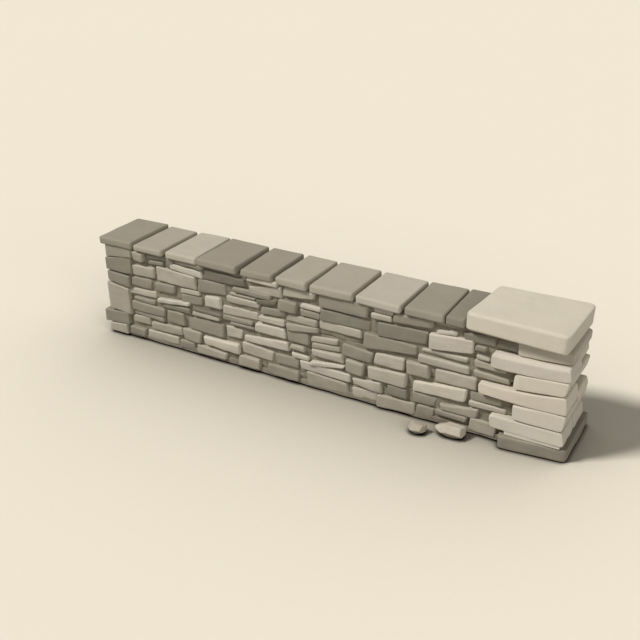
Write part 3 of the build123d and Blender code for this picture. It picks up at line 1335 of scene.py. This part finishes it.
@dataclass
class CopingRun:
    """The flat slabs that cover the wall, from the far end to the pier cap.

    Attributes:
        seed: what fixes its chances.
        tones: each slab's bed of stone, from the far end.
        turns: how far each packed slab is turned in plan, in degrees.
        plan: how a slab's plan departs from a rectangle.
        last_plan: the same for the slab beside the cap.
        swelling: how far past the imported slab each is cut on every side, for what wear takes off.
        wide_slab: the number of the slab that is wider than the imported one, to close the joint after it.
        widened: how much wider it is.
        dressing: how the slabs are worked.
    """

    seed: int = 12
    tones: tuple[Tone, ...] = (
        Tone.UMBER, Tone.DUN, Tone.BUFF, Tone.UMBER, Tone.UMBER,
        Tone.DUN, Tone.DUN, Tone.BUFF, Tone.UMBER, Tone.SLATE,
    )
    turns: tuple[float, ...] = (0.4, -0.7, 0.6, -0.5, 0.8, -0.4, 0.5, -0.6, 0.3, 0.0)
    plan: Plan = Plan(corner=0.022)
    last_plan: Plan = Plan(corner=0.022, right_rake=0.058)
    swelling: float = 0.005
    wide_slab: int = 3
    widened: float = 0.016
    dressing: Dressing = Dressing(
        edge_round=0.021, cell=0.03, round_steps=6, corner_play=0.004, wave=0.0010, wave_length=0.2,
        chips=1, chip_depth=0.008, shade_play=0.0,
    )

    def build(self) -> None:
        """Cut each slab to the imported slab's own length and width, turned as it is."""
        cutter = StoneCutter(self.seed)
        material = COPING_FINISH.material()
        for number, (tone, turn) in enumerate(zip(self.tones, self.turns), 1):
            node = f"coping_slab_{number:02d}"
            low, high = box_of(node)
            if number == self.wide_slab:
                high.x += self.widened
            angle = math.radians(abs(turn))
            across, along = high.x - low.x, high.y - low.y
            # The slab's own width and length, from those of the box round it when it is turned.
            width = (across * math.cos(angle) - along * math.sin(angle)) / math.cos(2 * angle)
            length = (along * math.cos(angle) - across * math.sin(angle)) / math.cos(2 * angle)
            middle = (low + high) / 2
            half = Vector((width / 2, length / 2, (high.z - low.z) / 2)) + Vector((1, 1, 1)) * self.swelling
            plan = self.last_plan if number == len(self.tones) else self.plan
            lie = Pose(turn=turn)
            slab = cutter.cut(middle - half, middle + half, tone, self.dressing, pose=lie, plan=plan)
            piece = slab.piece(f"{node}_stone", "coping_stone", material)
            stand_for(piece, node)


@dataclass(frozen=True)
class PierStone:
    """One course of the pier.

    Attributes:
        shape: its elevation, in metres, in the wall's own frame.
        turn: how far it is turned in plan, in degrees.
        back_end: for a course laid as two runners, how far the back one's end stands past the front one's.
        back_lift: how far the back one lies above the front one.
        paired: whether it is laid as two runners.
        back_drop: how much lower the back one's top is at its end.
        set_back: how far its front is set in.
        short: how far its back stops short.
        tone: the bed of stone that it comes from.
    """

    shape: Outline
    turn: float = 0.0
    back_end: float = 0.0
    back_lift: float = 0.0
    paired: bool = False
    back_drop: float = 0.0
    set_back: float = 0.0
    short: float = 0.0
    tone: Tone = Tone.CREAM


@dataclass
class Pier:
    """The coursed pier: plinth, levelling slab, dressed courses and the thick cap.

    Attributes:
        seed: what fixes its chances.
        joint: how wide the joint between two runners is.
        turn_play: how far a course may be turned beyond its own turn, in degrees.
        undercut: how far the plinth's worn underside stands above the ground.
        foot_inset: how far the packing under the plinth is set in.
        plinth_plan: how the plinth's plan departs from a rectangle.
        cap_plan: the same for the cap.
        cap_short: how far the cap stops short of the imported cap's end.
        cap_sag: how far the cap's underside hangs below its bed, at its left and its right end.
        cap_back: how far the cap's front is set back.
        stones: the courses, from the plinth up.
        dressing: how the courses are worked.
        slip_dressing: the same for the levelling slab and the plinth's packing.
        cap_dressing: the same for the cap.
        plinth_dressing: the same for the plinth.
    """

    seed: int = 23
    joint: float = 0.008
    turn_play: float = 0.3
    undercut: float = 0.007
    foot_inset: float = 0.03
    plinth_plan: Plan = Plan(skew=0.062, corner=0.034)
    cap_plan: Plan = Plan(
        narrowing=0.08, corner=0.052, left_rake=0.062, right_rake=0.028, worn_end=(0.050, 0.010)
    )
    cap_short: float = 0.036
    cap_sag: tuple[float, float] = (0.004, 0.020)
    cap_back: float = 0.008
    stones: tuple[PierStone, ...] = (
        PierStone(
            Outline((1.776, 0.117), (1.774, 0.152), (2.214, 0.119), (2.214, 0.148)),
            set_back=0.004, tone=Tone.ROSE,
        ),
        PierStone(
            Outline((1.652, 0.148), (1.640, 0.262), (2.246, 0.146), (2.222, 0.268), -0.004, -0.004),
            back_end=0.006, back_lift=0.004, paired=True, tone=Tone.ROSE,
        ),
        PierStone(
            Outline((1.822, 0.262), (1.818, 0.414), (2.222, 0.274), (2.244, 0.414)),
            turn=-0.9, tone=Tone.ROSE,
        ),
        PierStone(
            Outline((1.536, 0.430), (1.532, 0.518), (2.240, 0.420), (2.222, 0.574), -0.012, -0.020),
            back_end=0.012, back_lift=-0.014, paired=True, back_drop=0.072,
        ),
        PierStone(
            Outline((1.812, 0.530), (1.806, 0.662), (2.216, 0.580), (2.240, 0.702)),
            turn=-1.2, short=0.035,
        ),
        PierStone(
            Outline((1.616, 0.674), (1.622, 0.800), (2.242, 0.707), (2.220, 0.818), -0.012, -0.006),
            back_end=-0.024, back_lift=0.010, paired=True, tone=Tone.ROSE,
        ),
        # The top course's BUFF tone, darker than the courses below, is partly painted shade under the cap.
        PierStone(
            Outline((1.812, 0.800), (1.794, 0.936), (2.220, 0.824), (2.232, 0.926)),
            turn=-1.4, set_back=0.044, short=0.045, tone=Tone.BUFF,
        ),
    )
    dressing: Dressing = Dressing(
        edge_round=0.010, cell=0.025, round_steps=4, corner_play=0.004, wave=0.0016, wave_length=0.18,
        chips=3, chip_depth=0.018, face_round=0.030, shade_play=0.012,
    )
    slip_dressing: Dressing = Dressing(edge_round=0.006, cell=0.03, corner_play=0.002, wave=0.0008, chips=0)
    cap_dressing: Dressing = Dressing(
        edge_round=0.027, cell=0.03, round_steps=6, corner_play=0.003, wave=0.0012, wave_length=0.3,
        chips=0, shade_play=0.0,
    )
    plinth_dressing: Dressing = Dressing(
        edge_round=0.016, cell=0.03, round_steps=4, corner_play=0.006, wave=0.0016, wave_length=0.2,
        chips=2, chip_depth=0.02, shade_play=0.0,
    )

    def build(self) -> None:
        """Cut the plinth, every course and the cap."""
        cutter = StoneCutter(self.seed)
        self._plinth(cutter)
        material = PIER_FINISH.material()
        for node, stone in zip(PIER_NODES[1:], self.stones):
            self._course(cutter, node, stone, material)
        low, high = box_of("pier_cap")
        near = Vector((low.x, low.y + self.cap_back, low.z - max(self.cap_sag)))
        far = Vector((high.x - self.cap_short, high.y, high.z))
        heights = (low.z - self.cap_sag[0], high.z, low.z - self.cap_sag[1], high.z)
        shape = sloping(near.x, far.x, heights)
        cap = cutter.cut(near, far, Tone.CREAM, self.cap_dressing, shape, plan=self.cap_plan)
        stand_for(cap.piece("pier_cap_stone", "pier_stone", material), "pier_cap")

    def _plinth(self, cutter: StoneCutter) -> None:
        """Cut the plinth, which stands on a packing that is set in all round.

        Args:
            cutter: what cuts it.
        """
        low, high = box_of("pier_plinth")
        lifted = Vector((low.x, low.y, low.z + self.undercut))
        stone = cutter.cut(lifted, high, Tone.SLATE, self.plinth_dressing, plan=self.plinth_plan)
        corner = Vector((low.x, low.y + self.plinth_plan.skew, low.z))
        foot = cutter.foot(corner, high, self.foot_inset, 2 * self.undercut, self.slip_dressing)
        material = PLINTH_FINISH.material()
        piece = StoneMesh.joined([stone, foot]).piece("pier_plinth_stone", "plinth_stone", material)
        stand_for(piece, "pier_plinth")

    def _course(self, cutter: StoneCutter, node: str, stone: PierStone, material: bpy.types.Material) -> None:
        """Cut one course, as one stone or as two runners.

        Args:
            cutter: what cuts it.
            node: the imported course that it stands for.
            stone: how it is shaped and laid.
            material: the finish that it wears.
        """
        low, high = box_of(node)
        middle, gap = (low.y + high.y) / 2, self.joint / 2
        blocks = [(low.y, high.y, stone.shape)]
        if stone.paired:
            behind = stone.shape.moved(stone.back_end, stone.back_lift).dropped(stone.back_drop)
            blocks = [(low.y, middle - gap, stone.shape), (middle + gap, high.y, behind)]
        dressing = self.slip_dressing if node == "pier_course_1" else self.dressing
        meshes = []
        for front, back, shape in blocks:
            base = Vector((shape.lowest[0], front + stone.set_back, shape.lowest[1]))
            crown = Vector((shape.highest[0], back - stone.short, shape.highest[1]))
            pose = Pose(turn=stone.turn + cutter.spread(self.turn_play))
            meshes.append(cutter.cut(base, crown, stone.tone, dressing, shape, pose))
        piece = StoneMesh.joined(meshes).piece(f"{node}_stone", "pier_stone", material)
        stand_for(piece, node)


@dataclass
class EndQuoins:
    """The dressed stones that bond the far end.

    Attributes:
        seed: what fixes its chances.
        tones: each course's bed of stone, from the ground up.
        slopes: how far each bed and top rise or fall from level, left end then right end.
        insets: how far each course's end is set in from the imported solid's.
        runners: the nodes that are laid as a pair.
        split: how wide the joint between the two of a pair is.
        crown_lap: how far each course's top reaches into the joint above.
        bond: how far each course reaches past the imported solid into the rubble.
        foot_inset: how far the packing under the lowest course is set in.
        foot_height: how high that packing stands.
        dressing: how the courses are worked.
        foot_dressing: how that packing is worked.
    """

    seed: int = 31
    tones: tuple[Tone, ...] = (Tone.DUN, Tone.SLATE, Tone.DUN, Tone.SLATE, Tone.SLATE, Tone.UMBER)
    slopes: tuple[tuple[float, float, float, float], ...] = (
        (0.018, -0.008, 0.018, 0.015),
        (-0.005, -0.018, 0.018, -0.004),
        (0.010, 0.012, -0.006, -0.026),
        (0.030, -0.006, -0.014, -0.018),
        (0.006, -0.010, -0.006, 0.044),
        (0.001, -0.004, 0.042, -0.002),
    )
    insets: tuple[float, ...] = (0.006, 0.004, 0.002, 0.012, 0.0, 0.018)
    runners: tuple[str, ...] = ("end_quoin_3", "end_quoin_5")
    split: float = 0.008
    crown_lap: float = 0.002
    bond: float = 0.010
    foot_inset: float = 0.06
    foot_height: float = 0.032
    dressing: Dressing = Dressing(
        edge_round=0.013, cell=0.028, round_steps=4, corner_play=0.005, wave=0.0018, wave_length=0.15,
        chips=2, chip_depth=0.016,
    )
    foot_dressing: Dressing = Dressing(edge_round=0.008, chips=0)

    def build(self) -> None:
        """Cut each quoin course, as one stone or as a pair."""
        cutter = StoneCutter(self.seed)
        material = QUOIN_FINISH.material()
        for node, tone, slope, inset in zip(QUOIN_NODES, self.tones, self.slopes, self.insets):
            low, high = box_of(node)
            left, right = low.x + inset, high.x + self.bond
            heights = (
                low.z + slope[0],
                high.z + slope[1] + self.crown_lap,
                low.z + slope[2],
                high.z + slope[3] + self.crown_lap,
            )
            shape = sloping(left, right, heights)
            blocks = [(low.y, high.y)]
            if node in self.runners:
                blocks = [(low.y, -self.split / 2), (self.split / 2, high.y)]
            stones = []
            for front, back in blocks:
                base, crown = Vector((left, front, low.z)), Vector((right, back, high.z))
                stones.append(cutter.cut(base, crown, tone, self.dressing, shape))
            if node == QUOIN_NODES[0]:
                stones.append(cutter.foot(low, high, self.foot_inset, self.foot_height, self.foot_dressing))
            piece = StoneMesh.joined(stones).piece(f"{node}_stone", "quoin_stone", material)
            stand_for(piece, node)


@dataclass(frozen=True)
class Facet:
    """One flat face of a broken stone, in shares of the stone's half size.

    Attributes:
        facing: the way it looks.
        reach: how far out it lies.
    """

    facing: tuple[float, float, float]
    reach: float


@dataclass
class FallenStones:
    """Two stones that have dropped from the face and lie beside it, split to flat facets.

    Attributes:
        seed: what fixes its chances.
        cell: how fine the mesh is.
        softness: how soft the arrises between facets are.
        wave: how uneven the facets are.
        wave_length: how far apart their crests lie.
        large: the facets of the larger stone.
        small: the facets of the smaller one.
    """

    seed: int = 8
    cell: float = 0.007
    softness: float = 0.0012
    wave: float = 0.0008
    wave_length: float = 0.09
    large: tuple[Facet, ...] = (
        Facet((0.22, -0.84, 0.42), 0.86),
        Facet((-0.64, -0.60, 0.36), 0.84),
        Facet((-0.70, 0.20, 0.66), 0.90),
        Facet((0.06, 0.10, 1.00), 0.98),
        Facet((0.97, -0.16, 0.16), 0.97),
        Facet((-1.00, 0.10, -0.20), 0.98),
        Facet((0.10, -0.80, -0.60), 0.74),
        Facet((-0.66, -0.40, -0.62), 0.80),
        Facet((0.70, -0.10, -0.70), 0.98),
        Facet((0.00, 0.00, -1.00), 1.00),
        Facet((0.05, 1.00, 0.12), 0.98),
        Facet((0.00, 0.72, -0.70), 1.02),
    )
    small: tuple[Facet, ...] = (
        Facet((0.10, -0.62, 0.78), 0.88),
        Facet((-0.80, -0.34, 0.48), 0.88),
        Facet((0.20, -0.84, -0.54), 0.74),
        Facet((-0.64, -0.56, -0.54), 0.78),
        Facet((0.92, -0.30, 0.24), 0.94),
        Facet((0.10, 0.20, 1.00), 0.99),
        Facet((0.66, -0.30, -0.68), 0.90),
        Facet((-0.98, 0.20, 0.00), 0.97),
        Facet((0.00, 0.00, -1.00), 1.00),
        Facet((0.10, 1.00, 0.10), 0.97),
        Facet((0.00, 0.70, -0.70), 1.00),
    )

    def build(self) -> None:
        """Split both stones into broken lumps."""
        cutter = StoneCutter(self.seed)
        material = FALLEN_FINISH.material()
        for name, tone, facets in (("large", Tone.BUFF, self.large), ("small", Tone.DUN, self.small)):
            node = f"fallen_stone_{name}"
            low, high = box_of(node)
            stone = self._lump(cutter, low, high, tone, facets)
            stand_for(stone.piece(f"{node}_lump", "fallen_stone", material), node)

    def _lump(
        self, cutter: StoneCutter, low: Vector, high: Vector, tone: Tone, facets: tuple[Facet, ...]
    ) -> StoneMesh:
        """Split one lump out of its box.

        Args:
            cutter: what cuts it.
            low: the box's lowest corner.
            high: its highest corner.
            tone: the bed of stone that it comes from.
            facets: its flat faces.

        Returns:
            The stone as a mesh.
        """
        centre, half = middle_and_half(low, high)
        lines = [np.linspace(-1, 1, round(2 * size / self.cell) + 1) for size in half]
        spots, quads = block_surface([np.tan(line * math.pi / 4) for line in lines])
        rays = spots / np.linalg.norm(spots, axis=1)[:, None]
        normals = np.array([facet.facing for facet in facets])
        normals /= np.linalg.norm(normals, axis=1)[:, None]
        reach = np.array([facet.reach for facet in facets])
        # A ray ends where it meets the nearest facet: a smooth maximum of one over each distance. A facet
        # that it doesn't meet counts as far away.
        unmet = 1e-3
        inverse = np.maximum(rays @ normals.T, unmet) / reach
        sharpness = float(half.mean()) / self.softness
        length = 1 / (np.log(np.exp(sharpness * (inverse - 1)).sum(axis=1)) / sharpness + 1)
        points = np.clip(rays * length[:, None], -1, 1) * half
        points = points + rays * (cutter.waves(points, self.wave_length) * self.wave)[:, None] + centre
        return StoneMesh(
            points=points,
            quads=quads,
            arris_shading=np.zeros(len(points)),
            colour=np.tile(tone.colour(), (len(points), 1)),
            shift=np.tile(cutter.dice.uniform(-GRAIN_SHIFT, GRAIN_SHIFT, 3), (len(points), 1)),
        )


# --- The studio --------------------------------------------------------------------------------
@dataclass(frozen=True)
class Lamp:
    """One distant light.

    Attributes:
        name: the lamp's name.
        bearing: which side it stands on, in degrees from +X towards +Y.
        height: how high it stands, in degrees above the floor.
        strength: how much light it gives, in watts to the square metre.
        spread: how wide it looks in the sky, in degrees, which softens its shadows.
    """

    name: str
    bearing: float
    height: float
    strength: float
    spread: float

    def hang(self) -> None:
        """Add the lamp to the scene."""
        data = bpy.data.lights.new(self.name, "SUN")
        data.energy = self.strength
        data.angle = math.radians(self.spread)
        lamp = linked(bpy.data.objects.new(self.name, data))
        lamp.rotation_euler = (0, math.radians(90 - self.height), math.radians(self.bearing))


@dataclass
class Studio:
    """A pale floor, an even sky and three distant lamps.

    Attributes:
        floor_size: how long and how wide the floor is.
        floor_finish: what it is painted with.
        sky: how strongly the sky lights the wall.
        backdrop: the colour of the sky where it is seen itself.
        lamps: the lamps.
    """

    floor_size: float = 60.0
    floor_finish: FloorFinish = FloorFinish("studio_floor_paint", (240, 230, 210))
    sky: float = 0.10
    backdrop: Paint = (242, 232, 213)
    lamps: tuple[Lamp, ...] = (
        Lamp("key_lamp", -140.0, 48.0, 3.12, 12.0),
        Lamp("side_lamp", -40.0, 10.0, 1.75, 60.0),
        Lamp("back_lamp", 75.0, 26.0, 0.4, 80.0),
    )

    def build(self) -> None:
        """Lay the floor, light the sky and hang the lamps."""
        half = self.floor_size / 2
        mesh = bpy.data.meshes.new("studio_floor")
        corners = [(-half, -half, 0), (half, -half, 0), (half, half, 0), (-half, half, 0)]
        mesh.from_pydata(corners, [], [(0, 1, 2, 3)])
        mesh.materials.append(self.floor_finish.material())
        floor = linked(bpy.data.objects.new("studio_floor", mesh))
        self._sky()
        for lamp in self.lamps:
            lamp.hang()
        LOG.info("studio: floor, sky and %d lamps", len(self.lamps))

    def _sky(self) -> None:
        """An even white sky, which looks like the pale backdrop where it is seen itself."""
        world = bpy.data.worlds.new("studio_sky")
        bpy.context.scene.world = world
        world.use_nodes = True
        world.node_tree.nodes.clear()
        graph = NodeGraph(world.node_tree)
        light = graph.add("Background", {"Color": (1, 1, 1, 1), "Strength": self.sky})
        shown = graph.add("Background", {"Color": (*linear(self.backdrop), 1), "Strength": 1.0})
        parts = {"Fac": graph.seen_straight(), 1: light.outputs["Background"], 2: shown.outputs["Background"]}
        mix = graph.add("MixShader", parts)
        graph.add("OutputWorld", {"Surface": mix.outputs["Shader"]})


@dataclass
class ViewCamera:
    """The camera: high in front of the pier's end, looking down on the wall and along it.

    Attributes:
        place: where it stands, in metres.
        tilt: how far it looks up from straight down, in degrees.
        swing: how far it is turned towards the far end, in degrees.
        focal_length: its focal length, in millimetres.
        sensor: its sensor's width, in millimetres.
    """

    place: tuple[float, float, float] = (3.3815, -6.0594, 4.0092)
    tilt: float = 63.52
    swing: float = 29.41
    focal_length: float = 50.0
    sensor: float = 36.0

    def build(self) -> None:
        """Set the camera up and look through it."""
        data = bpy.data.cameras.new("view_camera")
        data.lens = self.focal_length
        data.sensor_width = self.sensor
        camera = linked(bpy.data.objects.new("view_camera", data))
        camera.location = self.place
        camera.rotation_euler = (math.radians(self.tilt), 0, math.radians(self.swing))
        bpy.context.scene.camera = camera


def main() -> None:
    """Build the wall's looks in order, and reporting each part."""
    logging.basicConfig(level=logging.INFO, format="%(name)s %(message)s")
    bpy.context.scene.view_settings.view_transform = "Standard"
    parts = (
        ViewCamera(),
        Studio(),
        Hearting(),
        RubbleFace(Side.FRONT, seed=7, stones=surveyed_stones()),
        RubbleFace(Side.BACK, seed=19, stones=CourseLayer().stones()),
        EndQuoins(),
        Pier(),
        CopingRun(),
        FallenStones(),
    )
    for part in parts:
        LOG.info("building %s", type(part).__name__)
        part.build()


if __name__ == "__main__":
    main()
